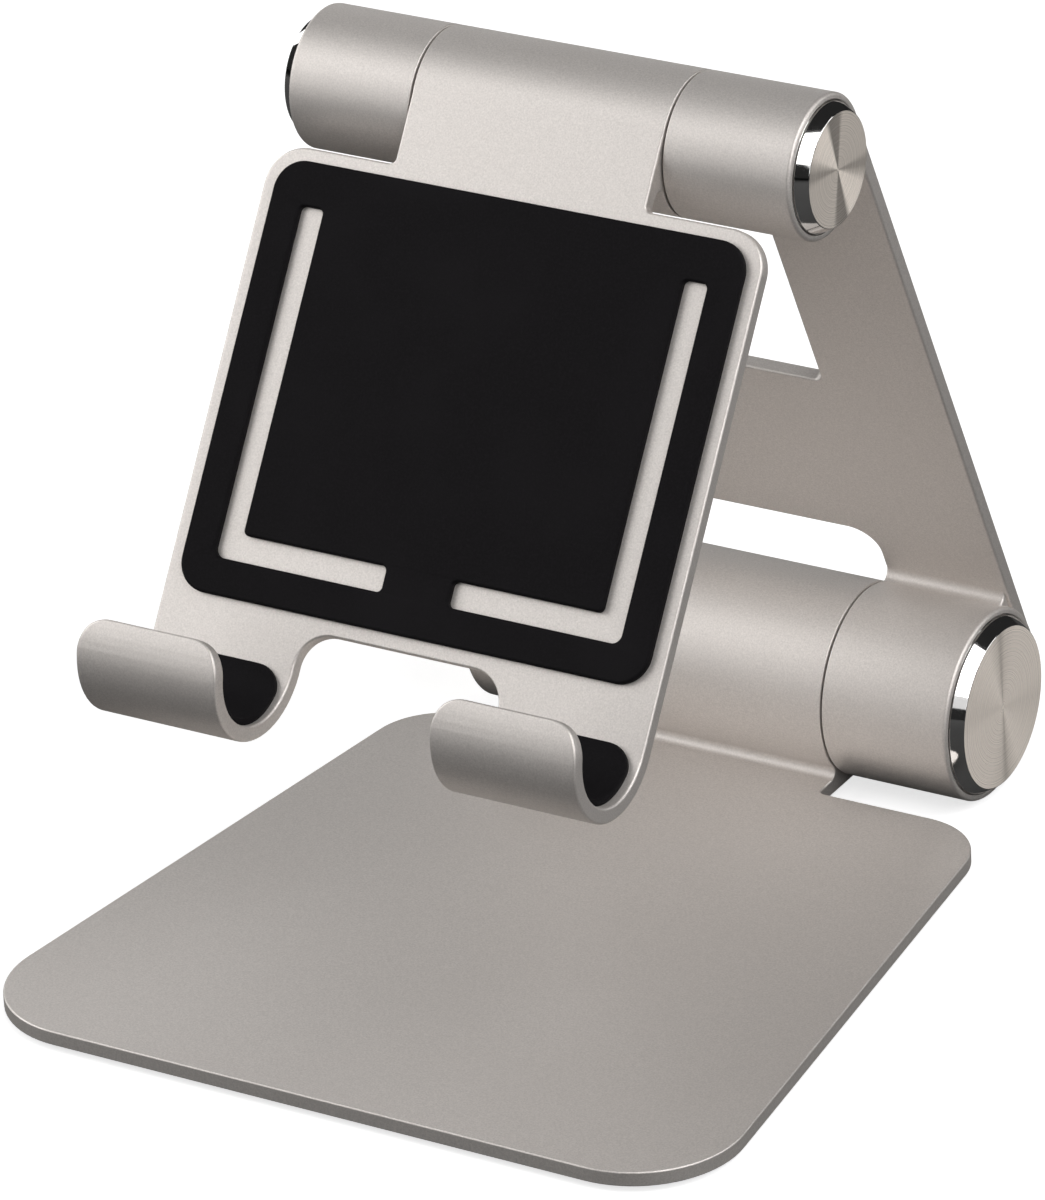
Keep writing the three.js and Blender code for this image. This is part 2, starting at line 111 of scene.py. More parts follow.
# ---- Places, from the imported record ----

joints = {joint["name"]: joint for joint in record["behaviour"]["joints"]}
lower_axis = Vector(joints["lower_hinge"]["pos_m"])
upper_axis = Vector(joints["upper_hinge"]["pos_m"])
mounts = {mount["name"]: mount for mount in record["mounts"]}
cradle_lean = math.asin(mounts["device_face"]["axis"][2])
reach = upper_axis - lower_axis
step_back = LOWER["barrel"] - UPPER["barrel"]
arm_lean = math.atan2(-reach.y, reach.z) + math.atan2(step_back, ARM_LENGTH)

in_row = Matrix.Scale(MM, 4)
in_lower = Matrix.Translation(lower_axis) @ Matrix.Scale(MM, 4)
in_arm = Matrix.Translation(lower_axis) @ Matrix.Rotation(arm_lean, 4, "X") @ Matrix.Scale(MM, 4)
in_upper_ear = Matrix.Translation(upper_axis) @ Matrix.Rotation(arm_lean, 4, "X") @ Matrix.Scale(MM, 4)
in_cradle = Matrix.Translation(upper_axis) @ Matrix.Rotation(-cradle_lean, 4, "X") @ Matrix.Scale(MM, 4)
UPPER_IN_ARM = Vector((0, step_back, ARM_LENGTH))


# ---- Outlines ----

def arc(centre_x, centre_y, radius, start, end):
    """Points along an arc, both ends included. Angles are in degrees."""
    count = max(2, math.ceil(abs(end - start) / STEP))
    angles = [math.radians(start + (end - start) * index / count) for index in range(count + 1)]
    return [(centre_x + radius * math.cos(angle), centre_y + radius * math.sin(angle)) for angle in angles]


def rounded(corners):
    """A closed outline from corners (x, y) or (x, y, radius)."""
    points = []
    for index, corner in enumerate(corners):
        here = Vector(corner[:2])
        radius = corner[2] if len(corner) > 2 else 0
        if radius == 0:
            points.append(tuple(here))
            continue
        back = (Vector(corners[index - 1][:2]) - here).normalized()
        ahead = (Vector(corners[(index + 1) % len(corners)][:2]) - here).normalized()
        half = back.angle(ahead) / 2
        centre = here + (back + ahead).normalized() * (radius / math.sin(half))
        start = here + back * (radius / math.tan(half)) - centre
        sweep = math.degrees(math.pi - 2 * half)
        if back.x * ahead.y - back.y * ahead.x > 0:
            sweep = -sweep
        first = math.degrees(math.atan2(start.y, start.x))
        points += arc(centre.x, centre.y, radius, first, first + sweep)
    return points


def area(outline):
    pairs = zip(outline, outline[1:] + outline[:1])
    return sum(a[0] * b[1] - b[0] * a[1] for a, b in pairs) / 2


def inset(outline, distance):
    """The outline moved inwards, or outwards where distance is negative."""
    inwards = 1 if area(outline) > 0 else -1
    moved = []
    for index, point in enumerate(outline):
        here = Vector(point)
        before = (here - Vector(outline[index - 1])).normalized()
        after = (Vector(outline[(index + 1) % len(outline)]) - here).normalized()
        normal_before = Vector((-before.y, before.x)) * inwards
        normal_after = Vector((-after.y, after.x)) * inwards
        middle = (normal_before + normal_after).normalized()
        moved.append(tuple(here + middle * (distance / max(MITRE_LIMIT, middle.dot(normal_before)))))
    return moved


# ---- Solids ----

def solid(name, points, faces):
    mesh = bpy.data.meshes.new(name)
    mesh.from_pydata([tuple(point) for point in points], [], faces)
    builder = bmesh.new()
    builder.from_mesh(mesh)
    bmesh.ops.remove_doubles(builder, verts=builder.verts, dist=WELD)
    bmesh.ops.recalc_face_normals(builder, faces=builder.faces)
    builder.to_mesh(mesh)
    builder.free()
    piece = bpy.data.objects.new(name, mesh)
    bpy.context.scene.collection.objects.link(piece)
    return piece


def flat(u, v, w):
    return (u, v, w)


def upright(u, v, w):
    return (u, w, v)


def along_x(u, v, w):
    return (w, u, v)


def levels(low, high, rims):
    """Pairs (height, inset) that round the edges at both faces of a plate."""
    rows = []
    for height, rim, inwards in ((low, rims[0], 1), (high, rims[1], -1)):
        steps = [math.pi / 2 * index / RIM_STEPS for index in range(RIM_STEPS + 1)] if rim else [0]
        side = [(height + inwards * rim * (1 - math.cos(t)), rim * (1 - math.sin(t))) for t in steps]
        rows += side[::inwards]
    return rows


def plate(name, outline, low, high, rims=(EDGE, EDGE), axes=upright, holes=()):
    """A plate with rounded edges: an outline and its holes, raised from low to high."""
    rows = levels(low, high, rims)
    loops = [(outline, 1)] + [(hole, -1) for hole in holes]
    points, faces = [], []
    ends = {0: [], len(rows) - 1: []}
    for loop, sense in loops:
        count = len(loop)
        first = len(points)
        for row, (height, distance) in enumerate(rows):
            ring = inset(loop, sense * distance) if distance else loop
            if row in ends:
                ends[row].append((ring, len(points)))
            points += [axes(u, v, height) for u, v in ring]
        for row in range(len(rows) - 1):
            for index in range(count):
                after = (index + 1) % count
                a, b = first + row * count + index, first + row * count + after
                faces.append((a, b, b + count, a + count))
    for rings in ends.values():
        if len(rings) == 1:
            ring, start = rings[0]
            faces.append(tuple(range(start, start + len(ring))))
            continue
        numbers = [start + index for ring, start in rings for index in range(len(ring))]
        polygons = [[Vector((u, v, 0)) for u, v in ring] for ring, _ in rings]
        faces += [tuple(numbers[corner] for corner in face) for face in tessellate_polygon(polygons)]
    return solid(name, points, faces)


def turned(name, profile, segments=TURN_SEGMENTS, centre=(0, 0, 0)):
    """A solid of revolution about X. The profile is a closed outline of (x, radius)."""
    points, faces, rings = [], [], []
    for x, radius in profile:
        if radius < ON_AXIS:
            rings.append([len(points)] * segments)
            points.append((x, 0, 0))
            continue
        rings.append([len(points) + index for index in range(segments)])
        for index in range(segments):
            angle = 2 * math.pi * index / segments
            points.append((x, radius * math.cos(angle), radius * math.sin(angle)))
    for ring, after in zip(rings, rings[1:] + rings[:1]):
        if ring[0] == ring[1] and after[0] == after[1]:
            continue
        for index in range(segments):
            following = (index + 1) % segments
            corners = [ring[index], ring[following], after[following], after[index]]
            faces.append(tuple(dict.fromkeys(corners)))
    points = [Vector(point) + Vector(centre) for point in points]
    return solid(name, points, faces)


def combine(target, tools, operation):
    """Joins tools to the target, or cuts them from it, and removes them."""
    for tool in tools:
        modifier = target.modifiers.new("combine", "BOOLEAN")
        modifier.operation = operation
        modifier.solver = "MANIFOLD"
        modifier.object = tool
        bpy.context.view_layer.update()
        evaluated = target.evaluated_get(bpy.context.evaluated_depsgraph_get())
        mesh = bpy.data.meshes.new_from_object(evaluated)
        target.modifiers.clear()
        target.data = mesh
        bpy.data.objects.remove(tool)
    return target


def cleaned(piece):
    builder = bmesh.new()
    builder.from_mesh(piece.data)
    bmesh.ops.remove_doubles(builder, verts=builder.verts, dist=SHORTEST_EDGE)
    bmesh.ops.dissolve_degenerate(builder, edges=builder.edges, dist=SHORTEST_EDGE)
    builder.to_mesh(piece.data)
    builder.free()
    return piece


def shade(piece):
    """Smooth shading in which a large face keeps its own normal up to its rounded edge."""
    mesh = piece.data
    mesh.polygons.foreach_set("use_smooth", [True] * len(mesh.polygons))
    normals = [polygon.normal.copy() for polygon in mesh.polygons]
    areas = [polygon.area for polygon in mesh.polygons]
    around = [[] for _ in mesh.vertices]
    for polygon in mesh.polygons:
        for vertex in polygon.vertices:
            around[vertex].append(polygon.index)
    limit = math.cos(SMOOTH_ANGLE)
    same = math.cos(SAME_PLANE_ANGLE)
    corners = [None] * len(mesh.loops)
    for polygon in mesh.polygons:
        own = normals[polygon.index]
        for loop in polygon.loop_indices:
            total = Vector((0, 0, 0))
            meeting = around[mesh.loops[loop].vertex_index]
            near = [other for other in meeting if normals[other].dot(own) > limit]
            for other in near:
                coplanar = sum(areas[third] for third in near if normals[third].dot(normals[other]) > same)
                total += normals[other] * areas[other] * coplanar * coplanar
            corners[loop] = total.normalized() if total.length > 0 else own
    mesh.normals_split_custom_set(corners)


def place(piece, matrix, body, replaced, material):
    """Puts a finished mesh into the row frame, and tells the frame what it is."""
    cleaned(piece)
    piece.data.transform(matrix)
    piece.data.materials.clear()
    for entry in material if isinstance(material, (list, tuple)) else [material]:
        piece.data.materials.append(entry)
    shade(piece)
    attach(piece, body)
    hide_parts(*replaced)
    return piece


# ---- Bent and joined shapes ----

BEND_CUTS = 30
BEND_SNAP = 1e-4
FILLET_ROOT = 1  # how far a fillet reaches into its barrel and its plate
HOOK_Y = -UPPER["barrel"] - CRADLE["hook_inner"]
BEND_LENGTH = math.pi * CRADLE["hook_inner"]
LIP_TOP = -CRADLE["hook_centre"] - BEND_LENGTH - CRADLE["lip_rise"]


def bend(piece):
    """Bends what hangs below the hooks' centre forwards and up, round that centre."""
    builder = bmesh.new()
    builder.from_mesh(piece.data)
    start = -CRADLE["hook_centre"]
    for index in range(BEND_CUTS + 1):
        everything = builder.verts[:] + builder.edges[:] + builder.faces[:]
        height = start - BEND_LENGTH * index / BEND_CUTS
        bmesh.ops.bisect_plane(builder, geom=everything, plane_co=(0, 0, height), plane_no=(0, 0, 1),
                               dist=BEND_SNAP)
    for vert in builder.verts:
        along = start - vert.co.z
        if along <= 0:
            continue
        radius = vert.co.y - HOOK_Y
        angle = min(along, BEND_LENGTH) / CRADLE["hook_inner"]
        beyond = max(0, along - BEND_LENGTH)
        vert.co.y = HOOK_Y + radius * math.cos(angle)
        vert.co.z = start - radius * math.sin(angle) + beyond
    builder.to_mesh(piece.data)
    builder.free()
    return piece


def fillet(name, centre, barrel, height, radius, towards, normal, low, high, rim=SEAM_EDGE):
    """A bar along X that fills the corner between a barrel and a plate's face.

    height is the barrel's centre above the face; towards and normal are the directions, in Y and Z,
    along the face and out of it.
    """
    across = math.sqrt((barrel + radius) ** 2 - (height - radius) ** 2)
    tangent = math.degrees(math.atan2(height - radius, -across)) - 360
    curve = arc(across, radius, radius, -90, tangent)
    share = (barrel - FILLET_ROOT) / (barrel + radius)
    inside_barrel = (across * share, height + (radius - height) * share)
    crossing = math.sqrt(barrel ** 2 - height ** 2)
    corners = curve + [inside_barrel, (crossing - FILLET_ROOT, -FILLET_ROOT), (across, -FILLET_ROOT)]
    outline = []
    for along, up in corners:
        up -= height
        outline.append((centre[0] + towards[0] * along + normal[0] * up,
                        centre[1] + towards[1] * along + normal[1] * up))
    return plate(name, outline, low, high, rims=(rim, rim), axes=along_x)


def knuckle(name, hinge, centre=(0, 0, 0)):
    """A middle barrel, bored for its shaft and with a seat for a thrust washer at each end."""
    seat = KNUCKLE - WASHER_SEAT
    bore, recess = hinge["shaft"] + CLEARANCE, hinge["washer"] + CLEARANCE
    return turned(name, rounded([
        (-KNUCKLE, recess), (-KNUCKLE, hinge["barrel"], SEAM_EDGE), (KNUCKLE, hinge["barrel"], SEAM_EDGE),
        (KNUCKLE, recess), (seat, recess), (seat, bore), (-seat, bore), (-seat, recess),
    ]), centre=centre)


def ear(name, hinge, side, centre=(0, 0, 0)):
    """An outer barrel, open at its outer end for its cap."""
    bore, end, web = hinge["bush"] + CLEARANCE, hinge["end"], EAR + EAR_WEB
    profile = rounded([
        (EAR, bore), (EAR, hinge["barrel"], SEAM_EDGE), (end, hinge["barrel"], EAR_EDGE),
        (end, hinge["pocket"], POCKET_EDGE), (web, hinge["pocket"]), (web, bore),
    ])
    return turned(name, [(side * x, radius) for x, radius in profile], centre=centre)


# ---- Base ----

def base_piece():
    front, rear = (BASE["front_half"], BASE["front"]), (BASE["rear_half"], BASE["rear"])
    axis = lower_axis / MM
    top = BASE["bottom"] + PLATE
    front_corner, rear_corner, notch_corner = BASE["front_corner"], BASE["rear_corner"], BASE["notch_corner"]
    outline = rounded([
        (-front[0], front[1], front_corner), (front[0], front[1], front_corner),
        (rear[0], rear[1], rear_corner), (KNUCKLE, rear[1], notch_corner), (KNUCKLE, axis.y),
        (-KNUCKLE, axis.y), (-KNUCKLE, rear[1], notch_corner), (-rear[0], rear[1], rear_corner),
    ])
    rims = (BASE["bottom_edge"], BASE["top_edge"])
    piece = plate("base_body", outline, BASE["bottom"], top, rims=rims, axes=flat)
    combine(piece, [
        fillet("base_fillet", (axis.y, axis.z), LOWER["barrel"], axis.z - top, BASE["fillet"],
               (-1, 0), (0, 1), -KNUCKLE + APART, KNUCKLE - APART),
        knuckle("base_knuckle", LOWER, axis),
    ], "UNION")
    discs = []
    for x, y in foot_centres():
        circle = [(x + u, y + v) for u, v in arc(0, 0, FOOT["radius"] + CLEARANCE, 0, 360 - STEP)]
        discs.append(plate("recess", circle, BASE["bottom"] - OVERRUN, BASE["bottom"] + FOOT["recess"],
                           rims=(0, 0), axes=flat))
    combine(piece, discs, "DIFFERENCE")
    return place(piece, in_row, "base", ["base_plate"], aluminium)


def foot_centres():
    boxes = [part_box(f"foot_{place_name}") for place_name in FOOT_PLACES]
    return [((low[0] + high[0]) / 2 / MM, (low[1] + high[1]) / 2 / MM) for low, high in boxes]


def foot_piece(place_name):
    low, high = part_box(f"foot_{place_name}")
    radius = FOOT["radius"] - FOOT["side_gap"]
    dish = FOOT["dish"]
    top = BASE["bottom"] + FOOT["recess"] - APART
    dish_edge, rim_edge, side_edge, top_edge = FOOT["edges"]
    profile = rounded([
        (dish, 0), (dish, FOOT["dish_radius"], dish_edge), (0, FOOT["dish_rim"], rim_edge),
        (0, radius, side_edge), (top, radius, top_edge), (top, 0),
    ])
    piece = turned(f"foot_pad_{place_name}", profile, segments=SMALL_TURN_SEGMENTS)
    upright_disc = Matrix.Translation(((low[0] + high[0]) / 2, (low[1] + high[1]) / 2, 0))
    matrix = upright_disc @ Matrix.Rotation(math.radians(-90), 4, "Y") @ Matrix.Scale(MM, 4)
    return place(piece, matrix, "base", [f"foot_{place_name}"], foot_rubber)


# ---- Arm ----

def arm_piece():
    lower_half, upper_half = ARM["lower_half"], ARM["upper_half"]
    low, high = TUCK, ARM_LENGTH - TUCK
    bottom = (ARM["web_bottom"], ARM["slot_corner"])
    top = (ARM["web_top"], ARM["opening_corner"])
    outline = rounded([
        (-lower_half, low), (-EAR, low), (-EAR, *bottom), (EAR, *bottom), (EAR, low), (lower_half, low),
        (upper_half, high), (EAR, high), (EAR, *top), (-EAR, *top), (-EAR, high), (-upper_half, high),
    ])
    rear = LOWER["barrel"]
    piece = plate("arm_body", outline, rear - PLATE, rear)
    sockets = []
    for side in (1, -1):
        ends = sorted((side * (EAR + EAR_WEB), side * (UPPER["end"] + OVERRUN)))
        rod = [(ends[0], 0), (ends[0], UPPER["pocket"]), (ends[1], UPPER["pocket"]), (ends[1], 0)]
        sockets.append(turned("socket", rod, centre=UPPER_IN_ARM))
    combine(piece, sockets, "DIFFERENCE")
    for side in (1, -1):
        ends = sorted((side * (EAR + APART), side * (upper_half - ARM["fillet_gap"])))
        combine(piece, [
            fillet("lower_fillet", (0, 0), LOWER["barrel"], rear - PLATE, ARM["fillet"], (0, 1), (-1, 0),
                   *ends, rim=EDGE),
            fillet("upper_fillet", UPPER_IN_ARM.yz, UPPER["barrel"], rear - PLATE - step_back, ARM["fillet"],
                   (0, -1), (-1, 0), *ends, rim=EDGE),
            ear("lower_ear", LOWER, side),
            ear("upper_ear", UPPER, side, UPPER_IN_ARM),
        ], "UNION")
    return place(piece, in_arm, "arm", ["arm_plate"], aluminium)


# ---- Cradle ----

def cradle_piece():
    half, notch, lip = CRADLE["half"], CRADLE["notch_half"], CRADLE["lip_inset"]
    centre = -CRADLE["hook_centre"]
    waist = centre - BEND_LENGTH / 2
    lip_corner = CRADLE["lip_corner"]
    right = [
        (notch, -CRADLE["notch_top"], CRADLE["notch_corner"]), (notch, centre), (notch + lip, waist),
        (notch + lip, LIP_TOP, lip_corner), (half, LIP_TOP, lip_corner),
        (half, -CRADLE["top"], CRADLE["top_corner"]),
        (KNUCKLE, -CRADLE["top"], CRADLE["neck_corner"]), (KNUCKLE, -TUCK),
    ]
    left = [(-corner[0], *corner[1:]) for corner in reversed(right)]
    front = -UPPER["barrel"]
    piece = bend(plate("cradle_body", rounded(left + right), front, front + PLATE))
    combine(piece, [
        fillet("cradle_fillet", (0, 0), UPPER["barrel"], UPPER["barrel"] - PLATE, CRADLE["fillet"],
               (0, -1), (1, 0), -KNUCKLE + APART, KNUCKLE - APART),
        knuckle("cradle_knuckle", UPPER),
    ], "UNION")
    return place(piece, in_cradle, "cradle", ["cradle_plate"], aluminium)


def pad_slot(side):
    """The outline of one L-shaped slot in the pad: down one side, then towards the middle."""
    inner, outer, middle = side * SLOT["inner"], side * SLOT["outer"], side * SLOT["middle"]
    corner = SLOT["corner"]
    return rounded([
        (inner, -SLOT["top"], corner), (outer, -SLOT["top"], corner),
        (outer, -SLOT["bottom_outer"], SLOT["outer_corner"]), (middle, -SLOT["bottom_outer"], corner),
        (middle, -SLOT["bottom_inner"], corner), (inner, -SLOT["bottom_inner"], corner),
    ])


def pad_piece():
    half, top, bottom = PAD["half"], -PAD["top"], -PAD["bottom"]
    corner = PAD["corner"]
    outline = rounded([
        (-half, bottom, corner), (half, bottom, corner), (half, top, corner), (-half, top, corner),
    ])
    front = -UPPER["barrel"]
    piece = plate("pad_sheet", outline, front - PAD["thickness"], front - APART, rims=(PAD["edge"], 0),
                  holes=[pad_slot(1), pad_slot(-1)])
    return place(piece, in_cradle, "cradle", ["cradle_pad"], rubber)


def liner_piece(side, side_name):
    near, far = side * (CRADLE["notch_half"] + LINER["inset"]), side * (CRADLE["half"] - LINER["inset"])
    top = -CRADLE["hook_centre"] + LINER["above_bend"]
    end = LIP_TOP + LINER["below_lip"]
    corner = LINER["corner"]
    outline = rounded([(near, end, corner), (far, end, corner), (far, top, corner), (near, top, corner)])
    front = -UPPER["barrel"]
    piece = bend(plate(f"liner_sheet_{side_name}", outline, front - LINER["thickness"], front - APART,
                       rims=(LINER["edge"], 0)))
    return place(piece, in_cradle, "cradle", [f"hook_liner_{side_name}"], rubber)


# ---- Hinge pieces ----

FACING = 0.99  # the least outward normal of a cap's turned face
FACE_DEPTH = 0.05


def cap_piece(hinge, side, side_name, matrix):
    end, radius = hinge["end"], hinge["cap"]
    face = end + CAP["proud"]
    plug, groove, groove_radius = end - CAP["plug"], end - CAP["groove"], radius - CAP["groove_depth"]
    profile = rounded([
        (plug, 0), (plug, radius), (groove, radius), (groove, groove_radius), (end, groove_radius),
        (end, radius, CAP["shoulder_edge"]), (face, hinge["cap_face"], CAP["face_edge"]), (face, 0),
    ])
    name = f"{hinge['name']}_cap_{side_name}"
    piece = turned(name, [(side * x, along) for x, along in profile])
    place(piece, matrix, "arm", [f"{hinge['name']}_end_cap_{side_name}"],
          [chrome, spun[hinge["name"]]])
    for polygon in piece.data.polygons:
        if polygon.normal.x * side > FACING and abs(polygon.center.x) > (face - FACE_DEPTH) * MM:
            polygon.material_index = 1
    return piece


def inner_piece(hinge, kind, side_name, body, material):
    """A washer, disc or bush inside a hinge, as long and as wide as its CAD node."""
    node = f"{hinge['name']}_{kind}_{side_name}"
    low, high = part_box(node)
    axis = lower_axis if hinge is LOWER else upper_axis
    outer = (high[2] - low[2]) / 2 / MM
    inner = hinge["shaft"] + CLEARANCE
    left, right, dish = low[0] / MM, high[0] / MM, 0
    if kind == "disc_spring" and side_name == "right":
        right, dish = right - SPRING_DISH, SPRING_DISH
    elif kind == "disc_spring":
        left, dish = left + SPRING_DISH, -SPRING_DISH
    corners = [(left + dish, inner), (left, outer), (right, outer), (right + dish, inner)]
    profile = rounded([(*corner, INNER_EDGE) for corner in corners])
    piece = turned(f"{node}_ring", profile, segments=SMALL_TURN_SEGMENTS)
    return place(piece, Matrix.Translation(axis) @ Matrix.Scale(MM, 4), body, [node], material)


# ---- Materials ----

def new_material(name):
    material = bpy.data.materials.new(name)
    material.use_nodes = True
    return material, material.node_tree, material.node_tree.nodes["Principled BSDF"]


def noise(tree, scale, detail=2.0, roughness=0.5, stretch=None):
    """A noise texture in the piece's own metres; scale is per metre."""
    coordinates = tree.nodes.new("ShaderNodeTexCoord")
    texture = tree.nodes.new("ShaderNodeTexNoise")
    texture.inputs["Scale"].default_value = scale
    texture.inputs["Detail"].default_value = detail
    texture.inputs["Roughness"].default_value = roughness
    source = coordinates.outputs["Object"]
    if stretch:
        mapping = tree.nodes.new("ShaderNodeMapping")
        mapping.inputs["Scale"].default_value = stretch
        tree.links.new(source, mapping.inputs["Vector"])
        source = mapping.outputs["Vector"]
    tree.links.new(source, texture.inputs["Vector"])
    return texture.outputs["Fac"]


def remap(tree, source, low, high, from_low=0.3, from_high=0.7):
    node = tree.nodes.new("ShaderNodeMapRange")
    node.inputs["From Min"].default_value = from_low
    node.inputs["From Max"].default_value = from_high
    node.inputs["To Min"].default_value = low
    node.inputs["To Max"].default_value = high
    tree.links.new(source, node.inputs["Value"])
    return node.outputs["Result"]


def math_node(tree, operation, first, second=None):
    node = tree.nodes.new("ShaderNodeMath")
    node.operation = operation
    for socket, value in zip(node.inputs, (first, second)):
        if isinstance(value, bpy.types.NodeSocket):
            tree.links.new(value, socket)
        elif value is not None:
            socket.default_value = value
    return node.outputs["Value"]


def blend_colours(tree, factor, first, second):
    node = tree.nodes.new("ShaderNodeMix")
    node.data_type = "RGBA"
    tree.links.new(factor, node.inputs["Factor"])
    for socket, colour in zip(("A", "B"), (first, second)):
        target = [entry for entry in node.inputs if entry.name == socket and entry.type == "RGBA"][0]
        if isinstance(colour, bpy.types.NodeSocket):
            tree.links.new(colour, target)
        else:
            target.default_value = (*colour, 1)
    return [entry for entry in node.outputs if entry.type == "RGBA"][0]


def bump(tree, shader, height, strength, distance):
    node = tree.nodes.new("ShaderNodeBump")
    node.inputs["Strength"].default_value = strength
    node.inputs["Distance"].default_value = distance
    tree.links.new(height, node.inputs["Height"])
    tree.links.new(node.outputs["Normal"], shader.inputs["Normal"])


def tone_and_roughness(tree, shader, texture, dark, light, smooth, rough):
    """Ties a piece's colour and roughness to one texture."""
    tree.links.new(blend_colours(tree, texture, dark, light), shader.inputs["Base Color"])
    tree.links.new(remap(tree, texture, smooth, rough), shader.inputs["Roughness"])


def satin_aluminium_material():
    """Bead-blasted and anodised: a fine even grain, with faint clouds in its tone."""
    dark, light, cloud = (0.585, 0.552, 0.527), (0.735, 0.696, 0.665), (0.63, 0.592, 0.563)
    material, tree, shader = new_material("blasted_aluminium")
    shader.inputs["Metallic"].default_value = 0.85
    grain = noise(tree, scale=3600, detail=3, roughness=0.6)
    tone = blend_colours(tree, remap(tree, grain, low=0, high=1), dark, light)
    clouds = remap(tree, noise(tree, scale=45, detail=3), low=0, high=0.2)
    tree.links.new(blend_colours(tree, clouds, tone, cloud), shader.inputs["Base Color"])
    wear = remap(tree, noise(tree, scale=900, detail=2), low=0.545, high=0.575)
    tree.links.new(wear, shader.inputs["Roughness"])
    bump(tree, shader, grain, strength=0.12, distance=0.00002)
    return material


def rubber_material(name, colour, light, grain_scale):
    material, tree, shader = new_material(name)
    grain = noise(tree, grain_scale, detail=4, roughness=0.65)
    speckle = remap(tree, grain, low=0, high=1, from_low=0.42, from_high=0.72)
    dust = remap(tree, noise(tree, scale=60, detail=4), low=0, high=0.5, from_low=0.45, from_high=0.75)
    tone = blend_colours(tree, speckle, colour, light)
    tree.links.new(blend_colours(tree, dust, tone, light), shader.inputs["Base Color"])
    tree.links.new(remap(tree, grain, low=0.62, high=0.82), shader.inputs["Roughness"])
    shader.inputs["Specular IOR Level"].default_value = 0.08
    bump(tree, shader, grain, strength=0.5, distance=0.00006)
    return material


def chrome_material():
    material, tree, shader = new_material("polished_rim")
    shader.inputs["Metallic"].default_value = 1
    haze = noise(tree, scale=700, detail=3)
    tone_and_roughness(tree, shader, haze, dark=(0.78, 0.77, 0.76), light=(0.86, 0.85, 0.84),
                       smooth=0.04, rough=0.09)
    return material


# How bright a turned face looks round its middle, as painted highlight wedges in its colour: pairs of an
# angle, in degrees from the rear upwards, and a level, set against the photograph. It repeats every half
# turn.
UPPER_PAINTED_WEDGES = ((0, 0.65), (76, 0.67), (84, 0.3), (104, 0.24), (112, 1.0), (146, 0.98), (154, 0.67),
                 (164, 0.39), (170, 0.39), (178, 0.63))
LOWER_PAINTED_WEDGES = ((0, 0.98), (66, 0.98), (84, 0.86), (92, 0.55), (98, 0.8), (112, 0.99), (150, 0.9),
                 (166, 0.87), (178, 0.96))
# Tint of the painted highlight wedges.
PAINTED_WEDGE_TINT = (1, 0.91, 0.82)
STREAK_COLOUR = (0.6, 0.55, 0.5)


def spun_material_with_painted_wedges(name, painted_wedge_levels):
    """A face turned on a lathe: fine rings round its middle, which spread highlights into wedges, with
    painted highlight wedges in its colour as well.
    """
    material, tree, shader = new_material(name)
    shader.inputs["Metallic"].default_value = 0.34
    shader.inputs["Anisotropic"].default_value = 0.85
    shader.inputs["Anisotropic Rotation"].default_value = 0.25
    tangent = tree.nodes.new("ShaderNodeTangent")
    tangent.direction_type = "RADIAL"
    tangent.axis = "X"
    tree.links.new(tangent.outputs["Tangent"], shader.inputs["Tangent"])
    coordinates = tree.nodes.new("ShaderNodeTexCoord")
    centred = tree.nodes.new("ShaderNodeVectorMath")
    centred.operation = "SUBTRACT"
    centred.inputs[1].default_value = (0.5, 0.5, 0.5)
    tree.links.new(coordinates.outputs["Generated"], centred.inputs[0])
    split = tree.nodes.new("ShaderNodeSeparateXYZ")
    tree.links.new(centred.outputs["Vector"], split.inputs["Vector"])
    squares = [math_node(tree, "POWER", split.outputs[axis], 2) for axis in ("Y", "Z")]
    radius = math_node(tree, "POWER", math_node(tree, "ADD", *squares), 0.5)
    rings = tree.nodes.new("ShaderNodeTexNoise")
    rings.noise_dimensions = "1D"
    rings.inputs["Scale"].default_value = 170
    rings.inputs["Detail"].default_value = 3
    tree.links.new(radius, rings.inputs["W"])
    angle = math_node(tree, "ARCTAN2", split.outputs["Z"], split.outputs["Y"])
    half_turn = math_node(tree, "FRACT", math_node(tree, "DIVIDE", angle, math.pi))
    # Painted highlight wedges: the base colour's brightness is set by the angle round the middle.
    painted_wedges = tree.nodes.new("ShaderNodeValToRGB")
    while len(painted_wedges.color_ramp.elements) < len(painted_wedge_levels):
        painted_wedges.color_ramp.elements.new(0.5)
    for element, (degrees, level) in zip(painted_wedges.color_ramp.elements, painted_wedge_levels):
        element.position = degrees / 180
        element.color = (*[level * tint for tint in PAINTED_WEDGE_TINT], 1)
    tree.links.new(half_turn, painted_wedges.inputs["Fac"])
    streaks = remap(tree, rings.outputs["Fac"], low=0, high=0.14)
    tone = blend_colours(tree, streaks, painted_wedges.outputs["Color"], STREAK_COLOUR)
    tree.links.new(tone, shader.inputs["Base Color"])
    tree.links.new(remap(tree, rings.outputs["Fac"], low=0.22, high=0.34), shader.inputs["Roughness"])
    bump(tree, shader, rings.outputs["Fac"], strength=0.12, distance=0.00003)
    return material


def steel_material():
    material, tree, shader = new_material("ground_steel")
    shader.inputs["Metallic"].default_value = 1
    lines = noise(tree, scale=900, detail=3, stretch=(6, 1, 1))
    tone_and_roughness(tree, shader, lines, dark=(0.42, 0.42, 0.43), light=(0.56, 0.56, 0.57),
                       smooth=0.25, rough=0.4)
    bump(tree, shader, lines, strength=0.2, distance=0.00002)
    return material


def bronze_material():
    material, tree, shader = new_material("sintered_bronze")
    shader.inputs["Metallic"].default_value = 1
    pores = noise(tree, scale=2600, detail=4, roughness=0.7)
    tone_and_roughness(tree, shader, pores, dark=(0.40, 0.26, 0.13), light=(0.66, 0.47, 0.25),
                       smooth=0.3, rough=0.5)
    bump(tree, shader, pores, strength=0.3, distance=0.00003)
    return material


